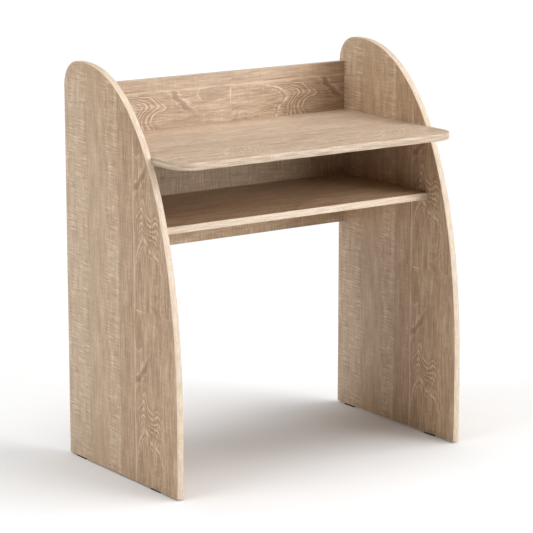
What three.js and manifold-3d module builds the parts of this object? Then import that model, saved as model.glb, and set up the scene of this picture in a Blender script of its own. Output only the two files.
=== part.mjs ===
// Computer desk made of five flat boards: two curved side panels, a worktop, a
// keyboard shelf and a back panel that stands up behind the worktop. The boards
// are joined by cam locks, bolts and dowels, and the desk stands on four glides.
// Units are millimetres. +Z is up, +Y points to the back of the desk and +X to
// the right as seen from the front. The origin is on the floor, at the middle.

import * as THREE from 'three';
import { mergeVertices } from 'three/addons/utils/BufferGeometryUtils.js';
import Module from 'manifold-3d';

const wasm = await Module();
wasm.setup();

// ---------------------------------------------------------------- dimensions

// The desk as a whole.
const overallWidth = 800;
const overallDepth = 460;
const worktopHeight = 750; // floor to the worktop's upper face
const boardThickness = 16;
const bandThickness = 0.8; // edge banding on every edge that shows

// Side panels.
const sideRise = 182; // how far the side panels stand above the worktop
const straightFront = 160; // upright stretch of the front edge, above the panel's foot
const curvePower = 2.175; // 2 would make the front edge a plain ellipse
const topFlat = 13.5; // level stretch between the front curve and the rear corner
const rearCornerRadius = 60;

// Worktop, keyboard shelf and back panel.
const worktopSetback = 2; // worktop's front edge behind the side panels' foot
const worktopCornerRadius = 50;
const keyboardGap = 143; // clear height between shelf and worktop
const shelfSetback = 57; // shelf's front edge behind the side panels' curved front edge
const backPanelHeight = 400;
const backPanelRise = 119; // back panel's top edge above the worktop
const backPanelInset = 2; // back panel's rear face in from the side panels' rear edge

// Joints.
const fitGap = 0.3; // clearance between a loose piece and the bore around it
const endInset = 50; // first and last cam from the ends of a joint line
const dowelPitch = 32; // a dowel stands this far inside of each cam
const sideSkin = 4.5; // wood left under the blind bores in the side panels
const camSetback = 34; // cam axis from the end of its board
const camRadius = 7.2;
const camBeyondAxis = 4.5; // cam's body past the bolt's axis
const camRecessDepth = 2;
const camRecessLength = 8;
const camRecessWidth = 1.4;
const boltThreadRadius = 2.5;
const boltCollarRadius = 3.6;
const boltCollarLength = 1.5;
const boltNeckRadius = 1.9;
const boltNeckLength = 6;
const boltHeadRadius = 3.3;
const boltHeadLength = 5;
const boltHeadBeyondAxis = 2; // the head's end past the cam's axis
const dowelRadius = 4;
const dowelInBoard = 20;
const dowelChamfer = 1;

// Glides and their nails.
const glideThickness = 4;
const glideLength = 40;
const glideWidth = 14;
const glideCornerRadius = 3;
const glideBevel = 0.7;
const glideFromFront = 74; // front glide's edge from the side panel's front edge
const glideFromRear = 26; // rear glide's edge from the side panel's rear edge
const nailSpacing = 24;
const nailLength = 18;
const nailRadius = 0.9;
const nailHeadRadius = 2.2;
const nailHeadLength = 0.9;
const nailHeadRecess = 0.7; // nail head's face above the glide's sole

// How finely the round stretches are cut.
const curveSteps = 30;
const cornerSteps = 9;
const boreSides = 8;
const camSides = 16;
const cutOverrun = 1; // a cutting body passes the face that it opens by this much

// ------------------------------------------------------------ derived places

const frontY = -overallDepth / 2;
const rearY = overallDepth / 2;
const innerX = overallWidth / 2 - boardThickness; // side panels' inner faces
const sideFootZ = glideThickness;
const sideTopZ = worktopHeight + sideRise;

const backPanelRearY = rearY - backPanelInset;
const backPanelFrontY = backPanelRearY - boardThickness;
const backPanelMidY = backPanelFrontY + boardThickness / 2;
const backPanelTopZ = worktopHeight + backPanelRise;
const backPanelFootZ = backPanelTopZ - backPanelHeight;

const curveFootZ = sideFootZ + straightFront;
const curveRise = sideTopZ - curveFootZ;
const curveReach = overallDepth - rearCornerRadius - topFlat;

// Y of the side panels' front edge at a height on its curve, or below it.
function sideFrontAt(z) {
  const up = Math.max(z - curveFootZ, 0) / curveRise;
  return frontY + curveReach * (1 - (1 - up ** curvePower) ** (1 / curvePower));
}

const worktopFrontY = frontY + worktopSetback;
const worktopUnderZ = worktopHeight - boardThickness;
const shelfTopZ = worktopUnderZ - keyboardGap;
const shelfUnderZ = shelfTopZ - boardThickness;
const shelfFrontY = sideFrontAt(shelfTopZ) + shelfSetback;

const camLength = boardThickness / 2 + camBeyondAxis;
const sideBoreDepth = boardThickness - sideSkin;

// ----------------------------------------------------------------- materials

function makeMaterial(color, roughness, metalness) {
  return new THREE.MeshStandardMaterial({ color, roughness, metalness, flatShading: true });
}

const oakBoard = makeMaterial(0xc4a586, 0.55, 0);
const oakBand = makeMaterial(0xdcc8ae, 0.5, 0);
const blackPlastic = makeMaterial(0x141414, 0.6, 0);
const zinc = makeMaterial(0xa9abad, 0.4, 0.9);
const steel = makeMaterial(0xb8b8ba, 0.35, 1);
const beech = makeMaterial(0xd2b48a, 0.7, 0);

// --------------------------------------------------------------------- tools

const desk = new THREE.Group();

function addPiece(name, geometry, material) {
  const mesh = new THREE.Mesh(geometry, material);
  mesh.name = name;
  desk.add(mesh);
  return mesh;
}

function toSolid(geometry) {
  const bare = geometry.clone();
  bare.deleteAttribute('normal');
  bare.deleteAttribute('uv');
  const merged = mergeVertices(bare);
  const vertProperties = new Float32Array(merged.attributes.position.array);
  const triVerts = new Uint32Array(merged.index.array);
  return new wasm.Manifold(new wasm.Mesh({ numProp: 3, vertProperties, triVerts }));
}

function toGeometry(solid) {
  const mesh = solid.getMesh();
  const geometry = new THREE.BufferGeometry();
  geometry.setAttribute('position', new THREE.BufferAttribute(mesh.vertProperties, 3));
  geometry.setIndex(new THREE.BufferAttribute(mesh.triVerts, 1));
  geometry.computeVertexNormals();
  return geometry;
}

function cutAway(geometry, cutters) {
  let solid = toSolid(geometry);
  for (const cutter of cutters) {
    solid = solid.subtract(toSolid(cutter));
  }
  return toGeometry(solid);
}

function boxBetween(low, high) {
  const size = high.map((value, axis) => value - low[axis]);
  const box = new THREE.BoxGeometry(...size);
  return box.translate(...low.map((value, axis) => value + size[axis] / 2));
}

function extrudeUp(points, lowZ, height) {
  const shape = new THREE.Shape(points);
  const geometry = new THREE.ExtrudeGeometry(shape, { depth: height, bevelEnabled: false });
  return geometry.translate(0, 0, lowZ);
}

// Stands an outline drawn in (y, z) up across the desk, from lowX on.
const drawnToUpright = new THREE.Matrix4().makeBasis(
  new THREE.Vector3(0, 1, 0),
  new THREE.Vector3(0, 0, 1),
  new THREE.Vector3(1, 0, 0),
);

function extrudeAcross(points, lowX, width) {
  return extrudeUp(points, 0, width).applyMatrix4(drawnToUpright).translate(lowX, 0, 0);
}

function rod(radius, length, sides) {
  return new THREE.CylinderGeometry(radius, radius, length, sides);
}

function rodAlongX(x0, x1, y, z, radius) {
  const geometry = rod(radius, Math.abs(x1 - x0), boreSides);
  return geometry.rotateZ(Math.PI / 2).translate((x0 + x1) / 2, y, z);
}

function rodAlongY(y0, y1, x, z, radius, sides) {
  return rod(radius, Math.abs(y1 - y0), sides).translate(x, (y0 + y1) / 2, z);
}

function rodAlongZ(z0, z1, x, y, radius, sides) {
  const geometry = rod(radius, Math.abs(z1 - z0), sides);
  return geometry.rotateX(Math.PI / 2).translate(x, y, (z0 + z1) / 2);
}

// A turned piece along +X, from [radius, x] pairs that start and end on the axis.
function turnedAlongX(profile) {
  const points = profile.map(([radius, x]) => new THREE.Vector2(radius, x));
  return new THREE.LatheGeometry(points, boreSides).rotateZ(-Math.PI / 2);
}

// ------------------------------------------------------------------ outlines
// An outline is a run of edge points, each with its outward normal. The band's
// outer side is the run itself, and the band's inner side and the board under it
// share the same run moved in by the band's thickness.

function edgePoint(x, y, nx, ny) {
  return { at: new THREE.Vector2(x, y), normal: new THREE.Vector2(nx, ny).normalize() };
}

function movedIn(run, distance) {
  return run.map(({ at, normal }) => at.clone().addScaledVector(normal, -distance));
}

function bandPoints(run) {
  return [...movedIn(run, 0), ...movedIn(run, bandThickness).reverse()];
}

function arcRun(centreX, centreY, radius, startAngle, endAngle) {
  const run = [];
  for (let step = 0; step <= cornerSteps; step++) {
    const angle = startAngle + ((endAngle - startAngle) * step) / cornerSteps;
    const nx = Math.cos(angle);
    const ny = Math.sin(angle);
    run.push(edgePoint(centreX + radius * nx, centreY + radius * ny, nx, ny));
  }
  return run;
}

// The side panel's front edge above its straight foot is a quarter of a
// superellipse that leans back and meets the level top.
function frontCurveRun() {
  const run = [];
  for (let step = 0; step <= curveSteps; step++) {
    const angle = ((Math.PI / 2) * step) / curveSteps;
    const across = step === curveSteps ? 0 : Math.cos(angle) ** (2 / curvePower);
    const up = Math.sin(angle) ** (2 / curvePower);
    run.push(edgePoint(
      frontY + curveReach * (1 - across),
      curveFootZ + curveRise * up,
      -(across ** (curvePower - 1)) / curveReach,
      up ** (curvePower - 1) / curveRise,
    ));
  }
  return run;
}

function sidePanelRun() {
  const cornerY = rearY - rearCornerRadius;
  const cornerZ = sideTopZ - rearCornerRadius;
  return [
    edgePoint(frontY, sideFootZ, -1, 0),
    ...frontCurveRun(),
    ...arcRun(cornerY, cornerZ, rearCornerRadius, Math.PI / 2, 0),
    edgePoint(rearY, sideFootZ, 1, 0),
  ];
}

function worktopRun() {
  const cornerX = innerX - worktopCornerRadius;
  const cornerY = worktopFrontY + worktopCornerRadius;
  return [
    edgePoint(-innerX, backPanelFrontY, -1, 0),
    ...arcRun(-cornerX, cornerY, worktopCornerRadius, Math.PI, Math.PI * 1.5),
    ...arcRun(cornerX, cornerY, worktopCornerRadius, Math.PI * 1.5, Math.PI * 2),
    edgePoint(innerX, backPanelFrontY, 1, 0),
  ];
}

// -------------------------------------------------------------------- joints
// Each board meets both side panels along a joint line with two bolts, one near
// each end of the line, and two dowels inside of them.

function jointSpots(from, to, firstName, lastName, place) {
  return {
    bolts: [
      { name: firstName, ...place(from + endInset) },
      { name: lastName, ...place(to - endInset) },
    ],
    dowels: [
      { name: firstName, ...place(from + endInset + dowelPitch) },
      { name: lastName, ...place(to - endInset - dowelPitch) },
    ],
  };
}

function levelJoint(board, frontEdgeY, underZ) {
  const z = underZ + boardThickness / 2;
  const from = Math.max(frontEdgeY, sideFrontAt(z));
  const spots = jointSpots(from, backPanelFrontY, 'front', 'rear', (y) => ({ y, z }));
  return { board, camFace: 'down', camFaceAt: underZ, ...spots };
}

function uprightJoint(board, footZ, topZ) {
  const y = backPanelMidY;
  const spots = jointSpots(footZ, topZ, 'lower', 'upper', (z) => ({ y, z }));
  return { board, camFace: 'rear', camFaceAt: backPanelRearY, ...spots };
}

const worktopJoint = levelJoint('worktop', worktopFrontY, worktopUnderZ);
const shelfJoint = levelJoint('shelf', shelfFrontY, shelfUnderZ);
const backJoint = uprightJoint('back', backPanelFootZ, backPanelTopZ);
const joints = [worktopJoint, shelfJoint, backJoint];

const ends = [
  { name: 'left', sign: -1 },
  { name: 'right', sign: 1 },
];

// Bores in the side panel on one end: for every bolt and every dowel.
function sideJointBores(sign) {
  const mouthX = sign * (innerX - cutOverrun);
  const floorX = sign * (innerX + sideBoreDepth);
  const bores = [];
  for (const joint of joints) {
    for (const { y, z } of joint.bolts) {
      bores.push(rodAlongX(mouthX, floorX, y, z, boltThreadRadius + fitGap));
    }
    for (const { y, z } of joint.dowels) {
      bores.push(rodAlongX(mouthX, floorX, y, z, dowelRadius + fitGap));
    }
  }
  return bores;
}

function camBore(joint, x, y, z) {
  const depth = camLength + fitGap;
  const radius = camRadius + fitGap;
  const face = joint.camFaceAt;
  if (joint.camFace === 'down') {
    return rodAlongZ(face - cutOverrun, face + depth, x, y, radius, camSides);
  }
  return rodAlongY(face + cutOverrun, face - depth, x, z, radius, camSides);
}

// Bores in the ends of a board, with the cams' bores in its hidden face.
function boardJointBores(joint) {
  const bores = [];
  for (const { sign } of ends) {
    const mouthX = sign * (innerX + cutOverrun);
    const camX = sign * (innerX - camSetback);
    const dowelFloorX = sign * (innerX - dowelInBoard - fitGap);
    for (const { y, z } of joint.bolts) {
      bores.push(rodAlongX(mouthX, camX, y, z, boltCollarRadius + fitGap));
      bores.push(camBore(joint, camX, y, z));
    }
    for (const { y, z } of joint.dowels) {
      bores.push(rodAlongX(mouthX, dowelFloorX, y, z, dowelRadius + fitGap));
    }
  }
  return bores;
}

// -------------------------------------------------------------------- boards

const glideMiddles = [
  { name: 'front', y: frontY + glideFromFront + glideLength / 2 },
  { name: 'rear', y: rearY - glideFromRear - glideLength / 2 },
];
const nailOffsets = [-nailSpacing / 2, nailSpacing / 2];

function nailBores(x) {
  const topZ = nailHeadRecess + nailLength + fitGap;
  const bores = [];
  for (const glide of glideMiddles) {
    for (const offset of nailOffsets) {
      const bottomZ = sideFootZ - cutOverrun;
      bores.push(rodAlongZ(bottomZ, topZ, x, glide.y + offset, nailRadius + fitGap, boreSides));
    }
  }
  return bores;
}

function addSidePanel({ name, sign }) {
  const lowX = sign < 0 ? -innerX - boardThickness : innerX;
  const middleX = lowX + boardThickness / 2;
  const run = sidePanelRun();
  const panel = extrudeAcross(movedIn(run, bandThickness), lowX, boardThickness);
  const bores = [...sideJointBores(sign), ...nailBores(middleX)];
  addPiece(`side_panel_${name}`, cutAway(panel, bores), oakBoard);
  const band = extrudeAcross(bandPoints(run), lowX, boardThickness);
  addPiece(`side_panel_${name}_edge_band`, band, oakBand);
}

function addWorktop() {
  const run = worktopRun();
  const bores = boardJointBores(worktopJoint);
  const board = extrudeUp(movedIn(run, bandThickness), worktopUnderZ, boardThickness);
  const band = extrudeUp(bandPoints(run), worktopUnderZ, boardThickness);
  addPiece('worktop', cutAway(board, bores), oakBoard);
  addPiece('worktop_edge_band', cutAway(band, bores), oakBand);
}

function addShelf() {
  const bandRearY = shelfFrontY + bandThickness;
  const board = boxBetween(
    [-innerX, bandRearY, shelfUnderZ],
    [innerX, backPanelFrontY, shelfTopZ],
  );
  const band = boxBetween(
    [-innerX, shelfFrontY, shelfUnderZ],
    [innerX, bandRearY, shelfTopZ],
  );
  addPiece('keyboard_shelf', cutAway(board, boardJointBores(shelfJoint)), oakBoard);
  addPiece('keyboard_shelf_edge_band', band, oakBand);
}

function addBackPanel() {
  const boardFootZ = backPanelFootZ + bandThickness;
  const boardTopZ = backPanelTopZ - bandThickness;
  const layer = (lowZ, highZ) => boxBetween(
    [-innerX, backPanelFrontY, lowZ],
    [innerX, backPanelRearY, highZ],
  );
  const board = layer(boardFootZ, boardTopZ);
  addPiece('back_panel', cutAway(board, boardJointBores(backJoint)), oakBoard);
  addPiece('back_panel_top_edge_band', layer(boardTopZ, backPanelTopZ), oakBand);
  addPiece('back_panel_bottom_edge_band', layer(backPanelFootZ, boardFootZ), oakBand);
}

// ------------------------------------------------------------------ hardware

// Cam lock drawn with its face on z = 0 and pointing down, and with its claw
// open to +X for the bolt. The bolt's head enters from the side at -Y.
function camLockGeometry() {
  const axisZ = boardThickness / 2;
  const headRoom = boltHeadRadius + 1.5 * fitGap;
  const neckRoom = boltNeckRadius + 2 * fitGap;
  const chamberLow = -boltHeadBeyondAxis - 2 * fitGap;
  const chamberHigh = boltHeadLength - boltHeadBeyondAxis + 2 * fitGap;
  const outside = camRadius + cutOverrun;
  const body = rodAlongZ(0, camLength, 0, 0, camRadius, camSides);
  const chamber = boxBetween(
    [chamberLow, -outside, axisZ - headRoom],
    [chamberHigh, headRoom, axisZ + headRoom],
  );
  const claw = boxBetween(
    [0, -outside, axisZ - neckRoom],
    [outside, neckRoom, axisZ + neckRoom],
  );
  const halfLength = camRecessLength / 2;
  const halfWidth = camRecessWidth / 2;
  const slotAlongX = boxBetween(
    [-halfLength, -halfWidth, -cutOverrun],
    [halfLength, halfWidth, camRecessDepth],
  );
  const slotAlongY = boxBetween(
    [-halfWidth, -halfLength, -cutOverrun],
    [halfWidth, halfLength, camRecessDepth],
  );
  return cutAway(body, [chamber, claw, slotAlongX, slotAlongY]);
}

// Bolt drawn along X with x = 0 where the board meets the side panel. Its thread
// points to +X, into the side panel, and its head reaches back into the cam.
function camBoltGeometry() {
  const headEnd = -camSetback - boltHeadBeyondAxis;
  const headStart = headEnd + boltHeadLength;
  const neckStart = headStart + boltNeckLength;
  const collarEnd = -fitGap;
  const collarStart = collarEnd - boltCollarLength;
  const threadEnd = sideBoreDepth - fitGap;
  return turnedAlongX([
    [0, headEnd],
    [boltHeadRadius, headEnd],
    [boltHeadRadius, headStart],
    [boltNeckRadius, headStart],
    [boltNeckRadius, neckStart],
    [boltThreadRadius, neckStart],
    [boltThreadRadius, collarStart],
    [boltCollarRadius, collarStart],
    [boltCollarRadius, collarEnd],
    [boltThreadRadius, collarEnd],
    [boltThreadRadius, threadEnd - 1],
    [boltThreadRadius / 2, threadEnd],
    [0, threadEnd],
  ]);
}

// Dowel drawn along X, with x = 0 where the board meets the side panel.
function dowelGeometry() {
  const sideEnd = sideBoreDepth - fitGap;
  const tipRadius = dowelRadius - dowelChamfer;
  return turnedAlongX([
    [0, -dowelInBoard],
    [tipRadius, -dowelInBoard],
    [dowelRadius, -dowelInBoard + dowelChamfer],
    [dowelRadius, sideEnd - dowelChamfer],
    [tipRadius, sideEnd],
    [0, sideEnd],
  ]);
}

function addJointPieces(joint, { name: endName, sign }) {
  const turn = sign < 0 ? Math.PI : 0;
  const label = (kind, spot) => `${kind}_${joint.board}_${endName}_${spot.name}`;
  for (const spot of joint.bolts) {
    const cam = addPiece(label('cam_lock', spot), camLockGeometry(), zinc);
    const camX = sign * (innerX - camSetback);
    if (joint.camFace === 'down') {
      cam.position.set(camX, spot.y, joint.camFaceAt);
      cam.rotation.z = turn;
    } else {
      cam.position.set(camX, joint.camFaceAt, spot.z);
      cam.rotation.set(Math.PI / 2, 0, turn);
    }
    const bolt = addPiece(label('cam_bolt', spot), camBoltGeometry(), steel);
    bolt.position.set(sign * innerX, spot.y, spot.z);
    bolt.rotation.z = turn;
  }
  for (const spot of joint.dowels) {
    const dowel = addPiece(label('dowel', spot), dowelGeometry(), beech);
    dowel.position.set(sign * innerX, spot.y, spot.z);
    dowel.rotation.z = turn;
  }
}

// -------------------------------------------------------------------- glides

function glideOutline() {
  const halfX = glideWidth / 2 - glideBevel;
  const halfY = glideLength / 2 - glideBevel;
  const radius = glideCornerRadius - glideBevel;
  const quarter = Math.PI / 2;
  const corners = [[1, 1], [-1, 1], [-1, -1], [1, -1]];
  const shape = new THREE.Shape();
  corners.forEach(([signX, signY], index) => {
    const x = signX * (halfX - radius);
    const y = signY * (halfY - radius);
    shape.absarc(x, y, radius, index * quarter, (index + 1) * quarter, false);
  });
  return shape;
}

function glideGeometry() {
  const block = new THREE.ExtrudeGeometry(glideOutline(), {
    depth: glideThickness - 2 * glideBevel,
    bevelThickness: glideBevel,
    bevelSize: glideBevel,
    bevelSegments: 1,
    curveSegments: 2,
  }).translate(0, 0, glideBevel);
  const headTop = nailHeadRecess + nailHeadLength + fitGap;
  const cutters = [];
  for (const y of nailOffsets) {
    const above = glideThickness + cutOverrun;
    cutters.push(rodAlongZ(-cutOverrun, above, 0, y, nailRadius + fitGap, boreSides));
    cutters.push(rodAlongZ(-cutOverrun, headTop, 0, y, nailHeadRadius + fitGap, boreSides));
  }
  return cutAway(block, cutters);
}

// Nail drawn upright with its head's face on z = 0 and its point up.
function nailGeometry() {
  const pointLength = 2 * nailRadius;
  const profile = [
    [0, 0],
    [nailHeadRadius, 0],
    [nailHeadRadius, nailHeadLength],
    [nailRadius, nailHeadLength],
    [nailRadius, nailLength - pointLength],
    [0, nailLength],
  ];
  const points = profile.map(([radius, z]) => new THREE.Vector2(radius, z));
  return new THREE.LatheGeometry(points, boreSides).rotateX(Math.PI / 2);
}

function addGlides({ name: endName, sign }) {
  const x = sign * (innerX + boardThickness / 2);
  for (const { name, y } of glideMiddles) {
    addPiece(`glide_${endName}_${name}`, glideGeometry(), blackPlastic).position.set(x, y, 0);
    nailOffsets.forEach((offset, index) => {
      const nail = addPiece(`glide_nail_${endName}_${name}_${index + 1}`, nailGeometry(), steel);
      nail.position.set(x, y + offset, nailHeadRecess);
    });
  }
}

// ------------------------------------------------------------------ assembly

ends.forEach(addSidePanel);
addWorktop();
addShelf();
addBackPanel();
for (const joint of joints) {
  ends.forEach((end) => addJointPieces(joint, end));
}
ends.forEach(addGlides);

export default desk;
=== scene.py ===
# Computer desk with a fixed keyboard shelf: five oak-print boards with pale edge
# bands, held by cam locks, bolts and dowels, on four nailed glides. Metres.

import math

import bmesh
import bpy
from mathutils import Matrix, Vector


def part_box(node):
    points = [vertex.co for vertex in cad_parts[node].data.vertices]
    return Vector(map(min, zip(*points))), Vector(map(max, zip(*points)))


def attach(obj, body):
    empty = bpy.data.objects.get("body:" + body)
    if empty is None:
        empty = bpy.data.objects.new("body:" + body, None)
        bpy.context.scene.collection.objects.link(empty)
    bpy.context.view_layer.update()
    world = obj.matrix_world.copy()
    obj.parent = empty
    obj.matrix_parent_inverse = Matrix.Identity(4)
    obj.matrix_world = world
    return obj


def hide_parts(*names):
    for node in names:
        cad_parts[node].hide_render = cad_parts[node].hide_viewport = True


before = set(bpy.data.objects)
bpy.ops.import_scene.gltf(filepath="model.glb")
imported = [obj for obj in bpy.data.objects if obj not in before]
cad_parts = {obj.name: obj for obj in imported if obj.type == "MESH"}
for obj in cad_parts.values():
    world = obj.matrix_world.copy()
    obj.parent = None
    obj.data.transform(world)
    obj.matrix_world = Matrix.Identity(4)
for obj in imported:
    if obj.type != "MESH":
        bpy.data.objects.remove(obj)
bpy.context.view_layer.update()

MM = 0.001

# ---------------------------------------------------------------- shape of the desk
# What the frame's boxes can't say, in metres.

straight_front = 160 * MM
curve_power = 2.175
top_flat = 13.5 * MM
rear_corner_radius = 60 * MM
worktop_corner_radius = 50 * MM
arris = 0.3 * MM
curve_steps = 72
corner_steps = 16

bore_room = 0.3 * MM
dowel_radius = 4 * MM
bolt_thread_radius = 2.5 * MM
nail_radius = 0.9 * MM
bore_sides = 32
cam_sides = 48

ends = {"left": -1, "right": 1}
joint_places = {"worktop": ("front", "rear"), "shelf": ("front", "rear"), "back": ("lower", "upper")}


# ------------------------------------------------------------------ modelling tools

def clear_selection():
    if bpy.context.mode != "OBJECT":
        bpy.ops.object.mode_set(mode="OBJECT")
    bpy.ops.object.select_all(action="DESELECT")


def only(piece):
    clear_selection()
    piece.select_set(True)
    bpy.context.view_layer.objects.active = piece


def named(name):
    """Names the object that was just added."""
    piece = bpy.context.object
    piece.name = name
    piece.data.name = name
    return piece


def settle(piece):
    """Puts the object's origin back on the desk's origin, with its place in its mesh."""
    only(piece)
    bpy.ops.object.transform_apply(location=True, rotation=True, scale=True)
    return piece


def empty_piece(name):
    """A mesh with nothing in it yet, open in edit mode."""
    clear_selection()
    bpy.ops.mesh.primitive_plane_add(size=1, location=(0, 0, 0))
    piece = named(name)
    bpy.ops.object.mode_set(mode="EDIT")
    bpy.ops.mesh.select_mode(type="VERT")
    bpy.ops.mesh.select_all(action="SELECT")
    bpy.ops.mesh.delete(type="VERT")
    return piece


def draw_line(points):
    """Draws a line in the open mesh by extruding one corner after another."""
    bpy.ops.mesh.select_all(action="DESELECT")
    bpy.ops.mesh.primitive_plane_add(size=MM, location=points[0])
    bpy.ops.mesh.merge(type="CENTER")
    for here, there in zip(points, points[1:]):
        step = Vector(there) - Vector(here)
        bpy.ops.mesh.extrude_region_move(TRANSFORM_OT_translate={"value": step})


def close_shape():
    """Merges doubles in the open mesh, turns its faces outwards and leaves edit mode."""
    bpy.ops.mesh.select_all(action="SELECT")
    bpy.ops.mesh.remove_doubles(threshold=0.01 * MM)
    bpy.ops.mesh.normals_make_consistent(inside=False)
    bpy.ops.object.mode_set(mode="OBJECT")


def extrude_shape(move):
    bpy.ops.mesh.extrude_region_move(TRANSFORM_OT_translate={"value": move})


def select_where(piece, kind, test):
    """Selects the open mesh's parts of one kind, EDGE or FACE, that pass the test."""
    bpy.ops.mesh.select_mode(type=kind)
    bpy.ops.mesh.select_all(action="DESELECT")
    mesh = bmesh.from_edit_mesh(piece.data)
    for part in mesh.edges if kind == "EDGE" else mesh.faces:
        if test(part):
            part.select_set(True)
    bmesh.update_edit_mesh(piece.data)


def ease_edges(piece, width, segments=2, sharp=40):
    """Rounds the edges that turn by more than sharp degrees, as a maker eases an arris."""
    only(piece)
    bpy.ops.object.mode_set(mode="EDIT")
    select_where(piece, "EDGE", lambda edge: (
        len(edge.link_faces) == 2 and edge.calc_face_angle(0) > math.radians(sharp)))
    bpy.ops.mesh.bevel(offset=width, segments=segments, affect="EDGES")
    bpy.ops.mesh.select_mode(type="VERT")
    bpy.ops.object.mode_set(mode="OBJECT")


def smooth(piece, angle=25):
    only(piece)
    bpy.ops.object.shade_smooth_by_angle(angle=math.radians(angle))


def board_from_outline(name, outline, move):
    """A flat board: a closed outline, filled and pulled out to its thickness."""
    piece = empty_piece(name)
    draw_line(outline)
    bpy.ops.mesh.select_all(action="SELECT")
    bpy.ops.mesh.edge_face_add()
    extrude_shape(move)
    close_shape()
    return piece


def band_between(name, outer, inner, move):
    """A strip between an outer and an inner line, pulled out to its width."""
    piece = empty_piece(name)
    draw_line(outer)
    draw_line(inner)
    bpy.ops.mesh.select_all(action="SELECT")
    bpy.ops.mesh.bridge_edge_loops()
    bpy.ops.mesh.select_all(action="SELECT")
    extrude_shape(move)
    close_shape()
    return piece


def block(name, low, high):
    """A rectangular block between two corners."""
    clear_selection()
    middle = (Vector(low) + Vector(high)) / 2
    bpy.ops.mesh.primitive_cube_add(size=1, location=middle, scale=Vector(high) - Vector(low))
    return settle(named(name))


def rod(name, start, end, radius, sides=24):
    """A round rod between two points, for drilling or as the start of a piece."""
    clear_selection()
    start, end = Vector(start), Vector(end)
    line = end - start
    turn = line.to_track_quat("Z", "Y").to_euler()
    bpy.ops.mesh.primitive_cylinder_add(
        vertices=sides, radius=radius, depth=line.length, location=(start + end) / 2, rotation=turn)
    return settle(named(name))


def turned(name, profile, steps):
    """A piece turned about the X axis, from (radius, x) pairs that begin and end on it."""
    piece = empty_piece(name)
    draw_line([(x, radius, 0) for radius, x in profile])
    bpy.ops.mesh.select_all(action="SELECT")
    bpy.ops.mesh.spin(steps=steps, angle=math.tau, center=(0, 0, 0), axis=(1, 0, 0))
    close_shape()
    return piece


def join(pieces):
    only(pieces[0])
    for piece in pieces:
        piece.select_set(True)
    bpy.ops.object.join()
    return bpy.context.object


def carve(piece, cutters):
    """Cuts the cutters' shapes out of the piece and removes the cutters."""
    cutter = join(cutters)
    only(piece)
    cut = piece.modifiers.new("cut", "BOOLEAN")
    cut.operation = "DIFFERENCE"
    cut.solver = "EXACT"
    cut.use_self = True
    cut.object = cutter
    bpy.ops.object.modifier_apply(modifier=cut.name)
    bpy.data.objects.remove(cutter)
    return piece


def copy_of(piece, name):
    only(piece)
    bpy.ops.object.duplicate(linked=False)
    return named(name)


def turn_and_move(piece, turns, move):
    """Turns a piece about the desk's axes, one after another, and then moves it."""
    for axis, angle in turns:
        only(piece)
        piece.rotation_euler["XYZ".index(axis)] = math.radians(angle)
        bpy.ops.object.transform_apply(location=True, rotation=True, scale=True)
    piece.location = move
    return settle(piece)


def finish_piece(piece, material, slot, *nodes):
    piece.data.materials.clear()
    piece.data.materials.append(material)
    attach(piece, "root")
    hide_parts(*nodes)
    return piece


def fit(master, name, turns, move, material, slot, node):
    """Puts a copy of a master in its place on the desk."""
    piece = copy_of(master, name)
    turn_and_move(piece, turns, move)
    return finish_piece(piece, material, slot, node)


def low_of(node):
    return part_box(node)[0]


def middle_of(node):
    low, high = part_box(node)
    return (low + high) / 2


# ------------------------------------------------------------------------- outlines
# A line is a list of (point, outward normal) pairs, in the plane it is drawn in.

def moved_in(line, distance):
    return [point - normal * distance for point, normal in line]


def arc(centre, radius, start, end):
    line = []
    for step in range(corner_steps + 1):
        angle = math.radians(start + (end - start) * step / corner_steps)
        normal = Vector((math.cos(angle), math.sin(angle)))
        line.append((centre + normal * radius, normal))
    return line


def side_line():
    """The side panel's edge from the front foot over the top to the rear foot, in (y, z)."""
    low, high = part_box("side_panel_left_edge_band")
    reach = high.y - low.y - rear_corner_radius - top_flat
    curve_foot = low.z + straight_front
    rise = high.z - curve_foot
    line = [(Vector((low.y, low.z)), Vector((-1, 0)))]
    for step in range(curve_steps + 1):
        angle = math.pi / 2 * step / curve_steps
        across = max(math.cos(angle), 0) ** (2 / curve_power) if step < curve_steps else 0
        up = math.sin(angle) ** (2 / curve_power)
        point = Vector((low.y + reach * (1 - across), curve_foot + rise * up))
        slope = Vector((-across ** (curve_power - 1) / reach, up ** (curve_power - 1) / rise))
        line.append((point, slope.normalized()))
    corner = Vector((high.y - rear_corner_radius, high.z - rear_corner_radius))
    line += arc(corner, rear_corner_radius, 90, 0)
    line.append((Vector((high.y, low.z)), Vector((1, 0))))
    return line


def worktop_line():
    """The worktop's edge from the rear left end round the front to the rear right end."""
    low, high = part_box("worktop_edge_band")
    radius = worktop_corner_radius
    line = [(Vector((low.x, high.y)), Vector((-1, 0)))]
    line += arc(Vector((low.x + radius, low.y + radius)), radius, 180, 270)
    line += arc(Vector((high.x - radius, low.y + radius)), radius, 270, 360)
    line.append((Vector((high.x, high.y)), Vector((1, 0))))
    return line


def measure_along(piece, line, spread):
    """Stores on each corner of a band how far along the band's line it stands."""
    points = [point for point, normal in line]
    places = [0]
    for here, there in zip(points, points[1:]):
        places.append(places[-1] + (there - here).length)
    along = piece.data.attributes.new("along", "FLOAT", "POINT")
    for vertex in piece.data.vertices:
        flat = Vector((vertex.co.y, vertex.co.z)) if spread == "x" else vertex.co.xy
        nearest = min(range(len(points)), key=lambda i: (points[i] - flat).length_squared)
        along.data[vertex.index].value = places[nearest]


# ------------------------------------------------------------------- node shorthand

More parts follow.
